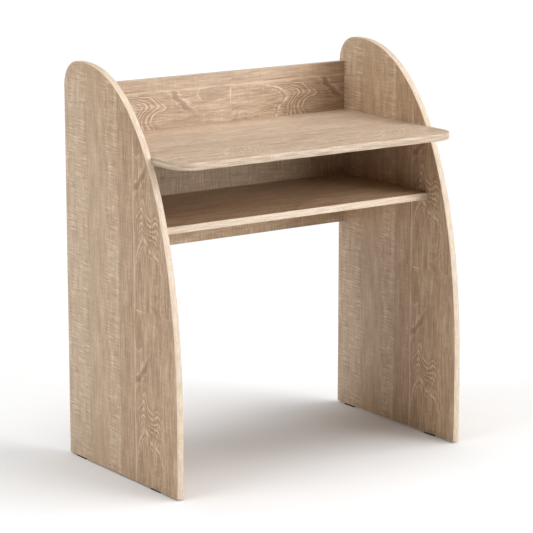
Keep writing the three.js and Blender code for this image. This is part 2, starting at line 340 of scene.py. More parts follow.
class Recipe:
    """Short names for the nodes that a material or a node group is made of."""

    def __init__(self, tree):
        self.tree = tree

    def node(self, kind, **settings):
        made = self.tree.nodes.new("ShaderNode" + kind)
        for key, value in settings.items():
            setattr(made, key, value)
        return made

    def feed(self, socket, value):
        if isinstance(value, bpy.types.NodeSocket):
            self.tree.links.new(value, socket)
        else:
            socket.default_value = value

    def math(self, operation, *values):
        made = self.node("Math", operation=operation)
        for socket, value in zip(made.inputs, values):
            self.feed(socket, value)
        return made.outputs[0]

    def times(self, a, b):
        return self.math("MULTIPLY", a, b)

    def plus(self, a, b):
        return self.math("ADD", a, b)

    def vector(self, x, y, z=0.0):
        made = self.node("CombineXYZ")
        for socket, value in zip(made.inputs, (x, y, z)):
            self.feed(socket, value)
        return made.outputs[0]

    def split(self, value):
        made = self.node("SeparateXYZ")
        self.feed(made.inputs[0], value)
        return made.outputs[0], made.outputs[1], made.outputs[2]

    def stretch(self, where, scale, shift=(0, 0, 0)):
        made = self.node("Mapping", vector_type="POINT")
        self.feed(made.inputs["Vector"], where)
        made.inputs["Location"].default_value = shift
        made.inputs["Scale"].default_value = scale
        return made.outputs[0]

    def noise(self, where, scale=1.0, detail=2.0):
        made = self.node("TexNoise", noise_dimensions="3D")
        self.feed(made.inputs["Vector"], where)
        made.inputs["Scale"].default_value = scale
        made.inputs["Detail"].default_value = detail
        made.inputs["Roughness"].default_value = 0.5
        return made.outputs["Fac"]

    def cloud(self, where, cell, detail=2.0, shift=(0, 0, 0)):
        """Noise in clouds of about cell's size, across and along the grain."""
        return self.noise(self.stretch(where, (1 / cell[0], 1 / cell[1], 1), shift), detail=detail)

    def swing(self, where, cell, size, detail=2.0, shift=(0, 0, 0)):
        """A cloud that swings evenly to both sides of nothing, by about half of size."""
        return self.times(self.plus(self.cloud(where, cell, detail, shift), -0.5), size)

    def weave(self, across, across_cell, along, along_cell, lane=0.0, detail=2.0):
        """A cloud over two measures that each have their own cell; lane picks another one."""
        place = self.vector(self.times(across, 1 / across_cell), self.times(along, 1 / along_cell), lane)
        return self.noise(place, detail=detail)

    def crests(self, value, spacing):
        """Pale crests with a brown hollow after each, once every spacing."""
        share = self.math("FRACT", self.math("DIVIDE", value, spacing))
        crest = self.between(share, 0.64, 0.8, 0.12)
        hollow = self.between(share, 0.1, 0.4, 0.16)
        return self.plus(crest, self.times(hollow, -0.5))

    def ease(self, value, low, high, out_low=0.0, out_high=1.0):
        """Runs smoothly from out_low to out_high as the value goes from low to high."""
        made = self.node("MapRange", interpolation_type="SMOOTHSTEP")
        self.feed(made.inputs["Value"], value)
        made.inputs["From Min"].default_value = low
        made.inputs["From Max"].default_value = high
        made.inputs["To Min"].default_value = out_low
        made.inputs["To Max"].default_value = out_high
        return made.outputs["Result"]

    def between(self, value, low, high, soft):
        """1 between low and high, falling softly to 0 outside."""
        rise = self.ease(value, low - soft, low + soft)
        fall = self.ease(value, high - soft, high + soft, 1.0, 0.0)
        return self.times(rise, fall)

    def ramp(self, value, stops):
        made = self.node("ValToRGB")
        self.feed(made.inputs[0], value)
        spots = made.color_ramp.elements
        while len(spots) < len(stops):
            spots.new(1)
        for spot, (place, colour) in zip(spots, stops):
            spot.position = place
            spot.color = colour
        return made.outputs["Color"]

    def grey_ramp(self, value, stops):
        """Like ramp, with a number at each place instead of a colour."""
        return self.ramp(value, [(place, (level, level, level, 1)) for place, level in stops])

    def paint(self, share, under, over):
        """The colour under with the colour over laid on it by a share from 0 to 1."""
        made = self.node("Mix", data_type="RGBA")
        self.feed(made.inputs["Factor"], share)
        under_socket, over_socket = [socket for socket in made.inputs if socket.type == "RGBA"]
        self.feed(under_socket, under)
        self.feed(over_socket, over)
        return [socket for socket in made.outputs if socket.type == "RGBA"][0]

    def bump(self, height, distance):
        made = self.node("Bump")
        self.feed(made.inputs["Height"], height)
        made.inputs["Distance"].default_value = distance
        made.inputs["Strength"].default_value = 1.0
        return made.outputs["Normal"]


def new_finish(name):
    """A material, the shorthand for its nodes, its shader and the piece's own coordinates."""
    material = bpy.data.materials.new(name)
    material.use_nodes = True
    recipe = Recipe(material.node_tree)
    shader = material.node_tree.nodes["Principled BSDF"]
    where = recipe.node("TexCoord").outputs["Object"]
    return material, recipe, shader, where


def colour(red, green, blue):
    """A colour as it is seen, from 0 to 255, made linear for the nodes."""
    def linear(value):
        share = value / 255
        return share / 12.92 if share <= 0.04045 else ((share + 0.055) / 1.055) ** 2.4
    return (linear(red), linear(green), linear(blue), 1)


# ------------------------------------------------------------------ the oak print
# The boards are covered with one printed oak decor: strips of different planks side
# by side. Across the grain the print is measured from the light seam beside the
# flame plank, and along the grain from the floor, as it lies on the side panels. The
# print repeats both ways. Millimetres.

print_length = 437.0
print_width = 460.0
flame_at = 217.0
joint_above_flame = 188.0

# The flame plank runs from the seam to this far across. On the seam's other side each
# plank begins at its own place, and the rear plank fills the rest of the width.
flame_plank = 171.0
warm_plank = -60.0
hatched_plank = -117.0
plain_plank = -196.0

# How far across the flame plank, and how far below its tip a tongue runs there.
tongue_length = 400.0
tongue_drops = (
    (0, 120), (6, 66), (12, 40), (22, 15), (32, 2), (40, 0), (50, 8), (58, 15), (68, 15),
    (78, 14), (90, 24), (104, 44), (116, 80), (126, 130), (140, 220), (171, 400),
)

crest_spacing = 17.0
eye_middle = (104.0, -168.0)
eye_reach = (26.0, 74.0)
root_middle = 18.0
root_foot = 92.0

oak_shades = (
    (0.0, colour(144, 112, 86)),
    (0.3, colour(169, 139, 111)),
    (0.5, colour(186, 158, 129)),
    (0.72, colour(203, 178, 150)),
    (1.0, colour(224, 203, 177)),
)
honey = colour(190, 166, 128)
# The pale grey of the paleness layer: partly a paler print, partly painted sheen.
pale_and_sheen_grey = colour(232, 224, 218)
pale_mark = colour(218, 205, 188)
brown_fleck = colour(172, 143, 117)
print_relief = 0.05 * MM
lacquer_ior = 1.48

print_inputs = {
    "Place": "Vector", "Flame": "Float", "Planks": "Float", "Marks": "Float",
    "Grain": "Float", "Pale_print_and_sheen": "Float",
}
print_outputs = {"Colour": "Color", "Height": "Float", "Roughness": "Float"}


def oak_print_group():
    """The node group that draws the print: colour, height and roughness from a place on
    it, and how much of each layer a board shows."""
    tree = bpy.data.node_groups.new("oak_print", "ShaderNodeTree")
    for name, kind in print_inputs.items():
        tree.interface.new_socket(name=name, in_out="INPUT", socket_type="NodeSocket" + kind)
    for name, kind in print_outputs.items():
        tree.interface.new_socket(name=name, in_out="OUTPUT", socket_type="NodeSocket" + kind)
    r = Recipe(tree)
    given = tree.nodes.new("NodeGroupInput").outputs
    result = tree.nodes.new("NodeGroupOutput").inputs

    across, above = oak_repeat(r, given["Place"])
    place = r.vector(across, above)
    planks = r.times(oak_planks(r, across), given["Planks"])
    clouds = r.swing(place, (26, 110), 0.66, detail=4, shift=(4, 1, 0))
    streaks, fibre, pore = oak_grain(r, across, above, place)
    grain = r.plus(streaks, r.plus(fibre, r.times(pore, -0.22)))
    flame = oak_flame(r, across, above, place)
    marks = oak_saw_marks(r, across, above, place)

    tone = r.plus(r.plus(planks, 0.5), clouds)
    tone = r.plus(tone, r.times(grain, given["Grain"]))
    tone = r.plus(tone, r.times(flame, given["Flame"]))
    tone = r.plus(tone, r.times(marks, given["Marks"]))
    warmth = r.ease(r.cloud(place, (55, 80), 2, (8, 8, 0)), 0.35, 0.65)
    painted = r.paint(r.times(warmth, 0.1), r.ramp(tone, oak_shades), honey)
    # Pale grey laid over the whole print: partly a paler print, partly painted sheen standing in for the
    # gloss that whitens a board seen at a low angle.
    painted = r.paint(given["Pale_print_and_sheen"], painted, pale_and_sheen_grey)

    base_roughness = 0.46
    roughness = r.plus(r.times(fibre, 0.08), r.plus(r.times(pore, 0.06), base_roughness))
    r.feed(result["Colour"], painted)
    r.feed(result["Height"], r.plus(r.times(fibre, 0.5), r.times(pore, -0.6)))
    r.feed(result["Roughness"], roughness)
    return tree


def oak_repeat(r, place):
    """Where a place lies in the print's repeat: how far across from the light seam, and how
    far above the tip of the top tongue."""
    raw_across, raw_along = r.split(place)[:2]
    across = r.math("WRAP", raw_across, flame_plank, flame_plank - print_width)
    above = r.plus(raw_along, -flame_at)
    above = r.math("WRAP", above, joint_above_flame, joint_above_flame - print_length)
    return across, above


def oak_grain(r, across, above, place):
    """The straight grain: long streaks, fibres and pores, a little weaker outside the flame
    plank."""
    wander = r.swing(place, (70, 170), 20, detail=2)
    ripple = r.swing(place, (16, 40), 4, detail=1)
    bent = r.vector(r.plus(across, r.plus(wander, ripple)), above)
    in_flame = r.between(across, 2.0, flame_plank, 2.0)
    streaks = r.swing(bent, (4.5, 90), 1.05, detail=4, shift=(2, 9, 0))
    streaks = r.times(streaks, r.ease(in_flame, 0, 1, 0.65, 1.0))
    brown = r.ease(r.cloud(bent, (6.5, 150), 2, (9, 4, 0)), 0.55, 0.72)
    depth = r.ease(across, warm_plank - 2, warm_plank + 2, -0.08, -0.24)
    streaks = r.plus(streaks, r.times(brown, depth))
    fibre = r.swing(bent, (1.5, 24), 0.85, detail=2, shift=(5, 5, 0))
    fibre = r.times(fibre, r.ease(in_flame, 0, 1, 0.75, 1.0))
    pore = r.ease(r.cloud(bent, (0.5, 7), 1, (1, 8, 0)), 0.64, 0.72)
    return streaks, fibre, pore


def oak_planks(r, across):
    """How much paler or browner than the middle each printed plank is, side by side."""
    start = flame_plank - print_width
    levels = (
        (start, 0.12), (plain_plank - 12, 0.1), (plain_plank + 2, 0.02),
        (hatched_plank - 2, 0.03), (hatched_plank + 4, 0.06),
        (warm_plank - 4, 0.05), (warm_plank - 1, -0.18), (warm_plank + 3, -0.07),
        (-3, -0.1), (-1, 0.2), (2, 0.2), (4, -0.1), (flame_plank, -0.04),
    )
    stops = [((at - start) / print_width, 0.5 + level) for at, level in levels]
    share = r.math("DIVIDE", r.plus(across, -start), print_width)
    return r.plus(r.grey_ramp(share, stops), -0.5)


def oak_flame(r, across, above, place):
    """The flame plank's figure: nested pale tongues with an eye under them, and above them
    a dark crest and the root of the next plank."""
    slow = r.swing(place, (60, 85), 80, 0, (1, 2, 0))
    unrest = r.plus(slow, r.swing(place, (20, 34), 13, 0, (3, 6, 0)))
    shift = r.swing(place, (34, 30), 18, detail=0, shift=(7, 1, 0))
    across = r.plus(across, r.times(shift, r.ease(across, 0, 25)))
    worn = r.ease(r.cloud(place, (14, 14), 2, (2, 2, 0)), 0.36, 0.6, 0.25, 1)
    figure = r.times(oak_tongues(r, across, above, unrest), worn)
    fade = r.times(r.between(above, -170.0, 60.0, 40.0), r.ease(across, 80, 130, 0.66, 0.24))
    figure = r.times(figure, fade)
    figure = r.plus(figure, r.times(r.times(oak_eye(r, across, above, unrest), worn), 0.22))
    figure = oak_crest(r, figure, across, above, place)
    figure = oak_root(r, figure, across, above, unrest)
    return r.times(figure, r.between(across, 2.0, flame_plank, 3.0))


def oak_tongues(r, across, above, unrest):
    """Pale tongues, one inside another, each in the shape that tongue_drops gives."""
    drops = [(at / flame_plank, drop / tongue_length) for at, drop in tongue_drops]
    leg = r.times(r.grey_ramp(r.times(across, 1 / flame_plank), drops), tongue_length)
    ring = r.plus(r.plus(above, unrest), leg)
    uneven = r.weave(ring, 30, across, 300, 3.0, 0)
    ring = r.plus(ring, r.times(r.plus(uneven, -0.5), 40.0))
    strong = r.weave(ring, 13, across, 160, 7.0, 0)
    tongues = r.times(r.crests(ring, crest_spacing), r.between(ring, -110.0, 6.0, 9.0))
    return r.times(tongues, r.ease(strong, 0.3, 0.62, 0.3, 1.2))


def oak_eye(r, across, above, unrest):
    """Rings round a long eye in the grain."""
    wide = r.math("DIVIDE", r.plus(across, -eye_middle[0]), eye_reach[0])
    high = r.math("DIVIDE", r.plus(above, -eye_middle[1]), eye_reach[1])
    eye = r.math("SQRT", r.plus(r.times(wide, wide), r.times(high, high)))
    eye = r.plus(eye, r.times(unrest, 0.03))
    return r.times(r.crests(eye, 0.42), r.between(eye, 0.5, 1.7, 0.3))


def oak_crest(r, figure, across, above, place):
    """Adds a dark slanting crest with a pale line on each side of it."""
    zigzag = r.swing(place, (13, 26), 34, 1, (4, 4, 0))
    crest = r.plus(r.plus(above, r.times(across, -0.9)), r.plus(zigzag, -20.0))
    reach = r.between(across, 1.0, 58.0, 9.0)
    for low, high, soft, level in (
            (-9.0, 6.0, 5.0, -0.3), (11.0, 17.0, 2.5, 0.24), (-18.0, -13.0, 2.5, 0.2)):
        line = r.times(r.between(crest, low, high, soft), reach)
        figure = r.plus(figure, r.times(line, level))
    return figure


def oak_root(r, figure, across, above, unrest):
    """Adds the next plank's root, a brown bowl with a pale rim, and the planks' joint."""
    edge = r.plus(across, r.times(unrest, 0.3))
    share = r.math("DIVIDE", r.plus(edge, -root_middle), root_middle)
    bowl = r.times(r.math("POWER", share, 2.0), 12.0)
    root = r.plus(r.plus(above, -root_foot), r.times(bowl, -1.0))
    inside = r.times(r.between(edge, 1.0, 33.0, 2.0), r.between(root, 3.0, 88.0, 2.0))
    figure = r.plus(figure, r.times(inside, -0.07))
    rim = r.times(r.between(root, -3.0, 1.5, 1.2), r.between(edge, 3.0, 38.0, 2.0))
    side = r.times(r.between(edge, 34.0, 37.5, 1.2), r.between(above, 104.0, 168.0, 4.0))
    figure = r.plus(figure, r.times(r.plus(rim, r.times(side, 0.35)), 0.2))
    joint = r.between(above, joint_above_flame - 4.0, joint_above_flame - 1.0, 0.8)
    joint = r.times(joint, r.between(across, 4.0, 44.0, 4.0))
    return r.plus(figure, r.times(joint, 0.3))


def oak_saw_marks(r, across, above, place):
    """Pale marks that run across the grain: faint everywhere and clear in patches, most of
    them on the rear plank and some on the hatched one."""
    slant = r.plus(above, r.times(across, 0.03))
    wobble = r.swing(place, (40, 40), 2.0, detail=1, shift=(9, 2, 0))
    run = r.plus(slant, wobble)
    comb = r.weave(across, 56, run, 4.0, 0.0, 1)
    fine = r.weave(across, 18, run, 1.8, 4.0, 1)
    patches = r.cloud(place, (36, 30), 3, (6, 6, 0))
    rear = r.between(across, flame_plank - print_width - 5, plain_plank, 6.0)
    hatched = r.between(across, hatched_plank, warm_plank, 6.0)
    where = r.plus(0.17, r.plus(r.times(rear, 0.4), r.times(hatched, 0.3)))
    strength = r.times(r.ease(patches, 0.38, 0.62, 0.2, 1), where)
    lines = r.plus(r.ease(comb, 0.4, 0.64, -0.22, 0.46), r.ease(fine, 0.36, 0.66, -0.12, 0.2))
    return r.times(lines, strength)


def oak_finish(name, across, along, flame, planks, marks, grain, pale_print_and_sheen=0.0):
    """Oak print on one board. across and along say which way the print lies on it:
    (axis, direction, shift in millimetres). The rest says how strong each layer is."""
    material, r, shader, where = new_finish(name)
    axes = dict(zip("xyz", r.split(where)))
    def place_on(axis, direction, shift):
        return r.plus(r.times(axes[axis], direction / MM), shift)
    print_node = r.node("Group", node_tree=oak_print)
    r.feed(print_node.inputs["Place"], r.vector(place_on(*across), place_on(*along)))
    for layer, share in zip(list(print_inputs)[1:], (flame, planks, marks, grain, pale_print_and_sheen)):
        print_node.inputs[layer].default_value = share
    r.feed(shader.inputs["Base Color"], print_node.outputs["Colour"])
    r.feed(shader.inputs["Roughness"], print_node.outputs["Roughness"])
    r.feed(shader.inputs["Normal"], r.bump(print_node.outputs["Height"], print_relief))
    shader.inputs["IOR"].default_value = lacquer_ior
    return material


def band_finish(name, width_axis, pale, brown, streak_length, length_axis=None):
    """An edge band whose flecks and streaks follow its length; width_axis is the axis that
    the band's width lies along. A curved band's length is the one measured along it."""
    material, r, shader, where = new_finish(name)
    axes = dict(zip("xyz", r.split(where)))
    over = r.times(axes[width_axis], 1 / MM)
    along = r.node("Attribute", attribute_name="along", attribute_type="GEOMETRY").outputs["Fac"]
    run = r.times(axes.get(length_axis, along), 1 / MM)
    fleck = r.weave(over, 1.1, run, 7)
    streak = r.weave(over, 3, run, streak_length, 3.0, 3)
    cross = r.weave(over, 18, run, 2.2, 5.0)
    patch = r.weave(over, 40, run, 40, 9.0)
    tone = r.paint(r.ease(streak, 0.36, 0.64), pale, brown)
    marks = r.times(r.ease(cross, 0.5, 0.7), r.ease(patch, 0.48, 0.62, 0.1, 0.6))
    tone = r.paint(marks, tone, pale_mark)
    tone = r.paint(r.ease(fleck, 0.54, 0.7, 0, 0.55), tone, brown_fleck)
    r.feed(shader.inputs["Base Color"], tone)
    r.feed(shader.inputs["Roughness"], r.plus(r.times(fleck, 0.2), 0.34))
    r.feed(shader.inputs["Normal"], r.bump(fleck, print_relief))
    return material


def glide_finish():
    """Black moulded plastic with a fine sparked texture."""
    material, r, shader, where = new_finish("glide_plastic")
    grain = r.noise(where, scale=2600, detail=2)
    scuff = r.noise(where, scale=90, detail=4)
    tone = r.paint(r.ease(scuff, 0.45, 0.75, 0, 0.6), colour(14, 14, 15), colour(34, 33, 33))
    r.feed(shader.inputs["Base Color"], tone)
    r.feed(shader.inputs["Roughness"], r.plus(r.times(scuff, 0.3), 0.4))
    r.feed(shader.inputs["Normal"], r.bump(grain, 0.04 * MM))
    return material


def metal_finish(name, dull, bright, roughness, grain_scale):
    """Plated or cast metal with a mottled skin."""
    material, r, shader, where = new_finish(name)
    mottle = r.noise(where, scale=grain_scale, detail=5)
    wear = r.noise(where, scale=grain_scale / 8, detail=3)
    r.feed(shader.inputs["Base Color"], r.paint(mottle, dull, bright))
    r.feed(shader.inputs["Roughness"], r.plus(r.times(wear, 0.25), roughness))
    r.feed(shader.inputs["Normal"], r.bump(mottle, 0.03 * MM))
    shader.inputs["Metallic"].default_value = 1.0
    return material


def beech_finish():
    """Bare beech with its short brown flecks."""
    material, r, shader, where = new_finish("beech_dowel")
    grain = r.noise(r.stretch(where, (60, 900, 900)), detail=3)
    fleck = r.noise(r.stretch(where, (300, 2400, 2400)), detail=1)
    tone = r.paint(grain, colour(226, 196, 154), colour(202, 168, 124))
    tone = r.paint(r.ease(fleck, 0.62, 0.7, 0, 0.7), tone, colour(158, 118, 80))
    r.feed(shader.inputs["Base Color"], tone)
    r.feed(shader.inputs["Normal"], r.bump(grain, 0.05 * MM))
    shader.inputs["Roughness"].default_value = 0.7
    return material


# --------------------------------------------------------------------------- boards

def upright(points, x):
    return [Vector((x, point.x, point.y)) for point in points]


def level(points, z):
    return [Vector((point.x, point.y, z)) for point in points]


def bolt_and_dowel_nodes(board=None, end=None):
    """The CAD's bolts and dowels of one board, or of one end of the desk."""
    found = []
    for node in sorted(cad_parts):
        parts = node.split("_")
        kind = "cam_bolt" if node.startswith("cam_bolt_") else parts[0]
        if kind not in ("cam_bolt", "dowel"):
            continue
        if (board is None or board in parts) and (end is None or end in parts):
            found.append(node)
    return found


def drill_board(piece, board):
    """Bores a board's two ends for bolts and dowels, and its hidden face for the cams. A
    band on those ends is bored with the same rods."""
    rods = []
    board_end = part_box("worktop_edge_band")[1].x
    for node in bolt_and_dowel_nodes(board=board):
        low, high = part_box(node)
        spot = (low + high) / 2
        side = 1 if spot.x > 0 else -1
        floor_x = side * min(abs(low.x), abs(high.x))
        reach = bore_room if node.startswith("dowel") else 0
        start = Vector((side * (board_end + MM), spot.y, spot.z))
        stop = Vector((floor_x - side * reach, spot.y, spot.z))
        rods.append(rod("bore", start, stop, (high.z - low.z) / 2 + bore_room, bore_sides))
    for end in ends:
        for place in joint_places[board]:
            low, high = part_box(f"cam_lock_{board}_{end}_{place}")
            spot = (low + high) / 2
            radius = (high.x - low.x) / 2 + bore_room
            if board == "back":
                start = Vector((spot.x, high.y + MM, spot.z))
                stop = Vector((spot.x, low.y - bore_room, spot.z))
            else:
                start = Vector((spot.x, spot.y, low.z - MM))
                stop = Vector((spot.x, spot.y, high.z + bore_room))
            rods.append(rod("cam_bore", start, stop, radius, cam_sides))
    return carve(piece, rods)


def drill_side(piece, end):
    """Bores a side panel's inner face for bolts and dowels, and its foot for nails."""
    rods = []
    face_x = ends[end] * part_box("worktop_edge_band")[1].x
    for node in bolt_and_dowel_nodes(end=end):
        low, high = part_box(node)
        spot = (low + high) / 2
        radius = dowel_radius if node.startswith("dowel") else bolt_thread_radius
        start = Vector((face_x - ends[end] * MM, spot.y, spot.z))
        stop = Vector((ends[end] * (max(abs(low.x), abs(high.x)) + bore_room), spot.y, spot.z))
        rods.append(rod("bore", start, stop, radius + bore_room, bore_sides))
    for place in ("front", "rear"):
        for number in (1, 2):
            low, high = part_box(f"glide_nail_{end}_{place}_{number}")
            spot = (low + high) / 2
            start = Vector((spot.x, spot.y, 0))
            stop = Vector((spot.x, spot.y, high.z + bore_room))
            rods.append(rod("nail_bore", start, stop, nail_radius + bore_room, 16))
    return carve(piece, rods)


def side_board(end, material):
    """A side panel's board, inside its band."""
    node = f"side_panel_{end}"
    low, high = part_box(node)
    band_thickness = low.y - low_of(node + "_edge_band").y
    outline = upright(moved_in(side_line(), band_thickness), low.x)
    piece = board_from_outline(f"side_board_{end}", outline, (high.x - low.x, 0, 0))
    ease_edges(piece, arris)
    drill_side(piece, end)
    smooth(piece)
    return finish_piece(piece, material, "oak_board", node)


def side_band(end, material):
    """The band that runs from a side panel's front foot over its top to its rear foot."""
    node = f"side_panel_{end}_edge_band"
    low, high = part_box(node)
    band_thickness = low_of(f"side_panel_{end}").y - low.y
    line = side_line()
    outer = upright(moved_in(line, 0), low.x)
    inner = upright(moved_in(line, band_thickness), low.x)
    piece = band_between(f"side_band_{end}", outer, inner, (high.x - low.x, 0, 0))
    ease_edges(piece, arris)
    smooth(piece)
    measure_along(piece, line, "x")
    return finish_piece(piece, material, "edge_band", node)


def worktop_board(material):
    """The worktop's board with its rounded front corners, inside its band."""
    low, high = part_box("worktop")
    band_thickness = low.x - low_of("worktop_edge_band").x
    outline = level(moved_in(worktop_line(), band_thickness), low.z)
    piece = board_from_outline("worktop_board", outline, (0, 0, high.z - low.z))
    ease_edges(piece, arris)
    drill_board(piece, "worktop")
    smooth(piece)
    return finish_piece(piece, material, "oak_board", "worktop")


def worktop_band(material):
    """The band round the worktop's two ends and front."""
    low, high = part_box("worktop_edge_band")
    band_thickness = low_of("worktop").x - low.x
    line = worktop_line()
    outer = level(moved_in(line, 0), low.z)
    inner = level(moved_in(line, band_thickness), low.z)
    piece = band_between("worktop_band", outer, inner, (0, 0, high.z - low.z))
    ease_edges(piece, arris)
    drill_board(piece, "worktop")
    smooth(piece)
    measure_along(piece, line, "z")
    return finish_piece(piece, material, "edge_band", "worktop_edge_band")


def flat_board(name, node, material, slot, drilled=None):
    """A straight board or a straight strip of band, with eased arrises."""
    piece = block(name, *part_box(node))
    ease_edges(piece, arris)
    if drilled:
        drill_board(piece, drilled)
    smooth(piece)
    return finish_piece(piece, material, slot, node)


# --------------------------------------------------------------------------- glides

glide_corner = 3 * MM
glide_rim = 0.7 * MM
head_hole_radius = 2.5 * MM
head_hole_depth = 2 * MM
shank_hole_radius = 1.2 * MM
shank_hole_depth = 5 * MM


def glide_master():
    """One glide, with its middle on the origin and its sole on the floor."""
    low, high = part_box("glide_left_front")
    size = high - low
    clear_selection()
    bpy.ops.mesh.primitive_plane_add(size=1, location=(0, 0, 0))
    piece = named("glide_master")
    piece.scale = (size.x, size.y, 1)
    settle(piece)
    bpy.ops.object.mode_set(mode="EDIT")
    bpy.ops.mesh.select_all(action="SELECT")
    bpy.ops.mesh.bevel(offset=glide_corner, segments=5, affect="VERTICES")
    bpy.ops.mesh.select_all(action="SELECT")
    extrude_shape((0, 0, size.z))
    close_shape()
    ease_edges(piece, glide_rim, 3, sharp=60)
    smooth(piece, 30)
    return piece


def nail_master():
    """One nail along +X, with its head's face on the origin."""
    low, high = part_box("glide_nail_left_front_1")
    length = high.z - low.z
    head = (high.x - low.x) / 2
    shank = nail_radius
    point = 2 * MM
    profile = [
        (0, 0), (head * 0.5, 0.02 * MM), (head * 0.85, 0.12 * MM), (head, 0.35 * MM), (head, 0.7 * MM),
        (head * 0.93, 0.9 * MM), (shank * 1.25, 0.95 * MM), (shank, 1.5 * MM),
        (shank, length - point), (0, length),
    ]
    piece = turned("nail_master", profile, 20)
    smooth(piece, 35)
    return piece


def glide(master, nail, end, spot, plastic, steel):
    """One glide in its place, with its two nails in their holes."""
    node = f"glide_{end}_{spot}"
    middle = middle_of(node)
    piece = copy_of(master, f"foot_glide_{end}_{spot}")
    turn_and_move(piece, [], (middle.x, middle.y, 0))
    cutters = []
    for number in (1, 2):
        nail_node = f"glide_nail_{end}_{spot}_{number}"
        at = middle_of(nail_node)
        sunk = (at.x, at.y, low_of(nail_node).z)
        fit(nail, f"glide_pin_{end}_{spot}_{number}", [("Y", -90)], sunk, steel, "steel", nail_node)
        below = Vector((at.x, at.y, -MM))
        for name, depth, radius in (
                ("hole", head_hole_depth, head_hole_radius),
                ("shank_hole", shank_hole_depth, shank_hole_radius)):
            cutters.append(rod(name, below, below + Vector((0, 0, MM + depth)), radius))
    carve(piece, cutters)
    smooth(piece, 30)
    return finish_piece(piece, plastic, "glide_plastic", node)


def glides(plastic, steel):
    """All four glides and their nails."""
    master = glide_master()
    nail = nail_master()
    for end in ends:
        for spot in ("front", "rear"):
            glide(master, nail, end, spot, plastic, steel)
    bpy.data.objects.remove(master)
    bpy.data.objects.remove(nail)


# --------------------------------------------------------------------- joint fittings

cam_radius = 7.2 * MM
cam_length = 12.5 * MM
cam_axis = 8 * MM
cam_rim = 0.9 * MM
cam_dish = 0.35 * MM
cam_dish_slope = 0.25 * MM
bolt_thread_pitch = 1.5 * MM
dowel_flute_radius = 3.7 * MM
dowel_tip_radius = 3 * MM
dowel_chamfer = MM
dowel_in_board = 20 * MM
into_side = 11.2 * MM  # how far bolts and dowels reach into a side panel


def cam_master():
    """One cam lock with its face on z = 0, pointing down, and its claw open to +X."""
    piece = rod("cam_master", (0, 0, 0), (0, 0, cam_length), cam_radius, cam_sides)
    ease_edges(piece, 0.35 * MM, 2)
    only(piece)
    bpy.ops.object.mode_set(mode="EDIT")
    select_where(piece, "FACE", lambda face: face.normal.z < -0.99)
    bpy.ops.mesh.inset(thickness=cam_rim, depth=0)
    bpy.ops.mesh.inset(thickness=cam_dish_slope, depth=-cam_dish)
    bpy.ops.object.mode_set(mode="OBJECT")
    head_room = 3.75 * MM
    neck_room = 2.5 * MM
    outside = cam_radius + MM
    slot_long = 4 * MM
    slot_wide = 0.7 * MM
    slot_deep = 2 * MM
    head_top = cam_axis + head_room
    head_foot = cam_axis - head_room
    neck_top = cam_axis + neck_room
    neck_foot = cam_axis - neck_room
    cutters = [
        block("chamber", (-2.6 * MM, -outside, head_foot), (3.6 * MM, head_room, head_top)),
        block("claw", (0, -outside, neck_foot), (outside, neck_room, neck_top)),
        block("slot_a", (-slot_long, -slot_wide, -MM), (slot_long, slot_wide, slot_deep)),
        block("slot_b", (-slot_wide, -slot_long, -MM), (slot_wide, slot_long, slot_deep)),
    ]
    carve(piece, cutters)
    smooth(piece, 30)
    return piece


def bolt_master():
    """One bolt along X, with its collar at x = 0 and its thread towards +X."""
    thread = bolt_thread_radius
    collar = 3.6 * MM
    neck = 1.9 * MM
    head = 3.3 * MM
    ball = [
        (0, -36 * MM), (head - 0.4 * MM, -36 * MM), (head, -35.6 * MM), (head, -31.5 * MM),
        (head - 0.6 * MM, -31 * MM), (neck, -30.6 * MM),
    ]
    shank = [(neck, -25.4 * MM), (thread, -25 * MM), (thread, -1.8 * MM)]
    flange = [
        (collar - 0.2 * MM, -1.8 * MM), (collar, -1.5 * MM), (collar, -0.3 * MM), (neck, -0.3 * MM),
    ]
    profile = ball + shank + flange
    x = 0.0
    while x < 9 * MM:
        crest = x + bolt_thread_pitch * 0.45
        profile += [(neck, x), (thread, crest), (thread, crest + bolt_thread_pitch * 0.1)]
        x += bolt_thread_pitch
    profile += [(neck, x), (0.6 * neck, into_side), (0, into_side)]
    piece = turned("bolt_master", profile, 24)
    smooth(piece, 35)
    return piece


def dowel_master():
    """One fluted dowel along X, with x = 0 where the two boards meet."""
    foot = dowel_chamfer - dowel_in_board
    flute_share = dowel_flute_radius / dowel_radius
    tip_share = dowel_tip_radius / dowel_radius
    clear_selection()
    bpy.ops.mesh.primitive_circle_add(
        vertices=40, radius=dowel_radius, fill_type="NGON", location=(foot, 0, 0),
        rotation=(0, math.pi / 2, 0))
    piece = named("dowel_master")
    settle(piece)
    bpy.ops.object.mode_set(mode="EDIT")
    mesh = bmesh.from_edit_mesh(piece.data)
    for number, vertex in enumerate(mesh.verts):
        vertex.select_set(number % 2 == 0)
    mesh.select_flush_mode()
    bmesh.update_edit_mesh(piece.data)
    bpy.ops.mesh.select_mode(type="VERT")
    bpy.ops.transform.resize(value=(1, flute_share, flute_share), center_override=(0, 0, 0))
    bpy.ops.mesh.select_all(action="SELECT")
    extrude_shape((into_side - dowel_chamfer - foot, 0, 0))
    for direction in (1, -1):
        select_where(piece, "FACE", lambda face: face.normal.x * direction > 0.9)
        extrude_shape((direction * dowel_chamfer, 0, 0))
        bpy.ops.transform.resize(value=(1, tip_share, tip_share), center_override=(0, 0, 0))
    close_shape()
    smooth(piece, 30)
    return piece


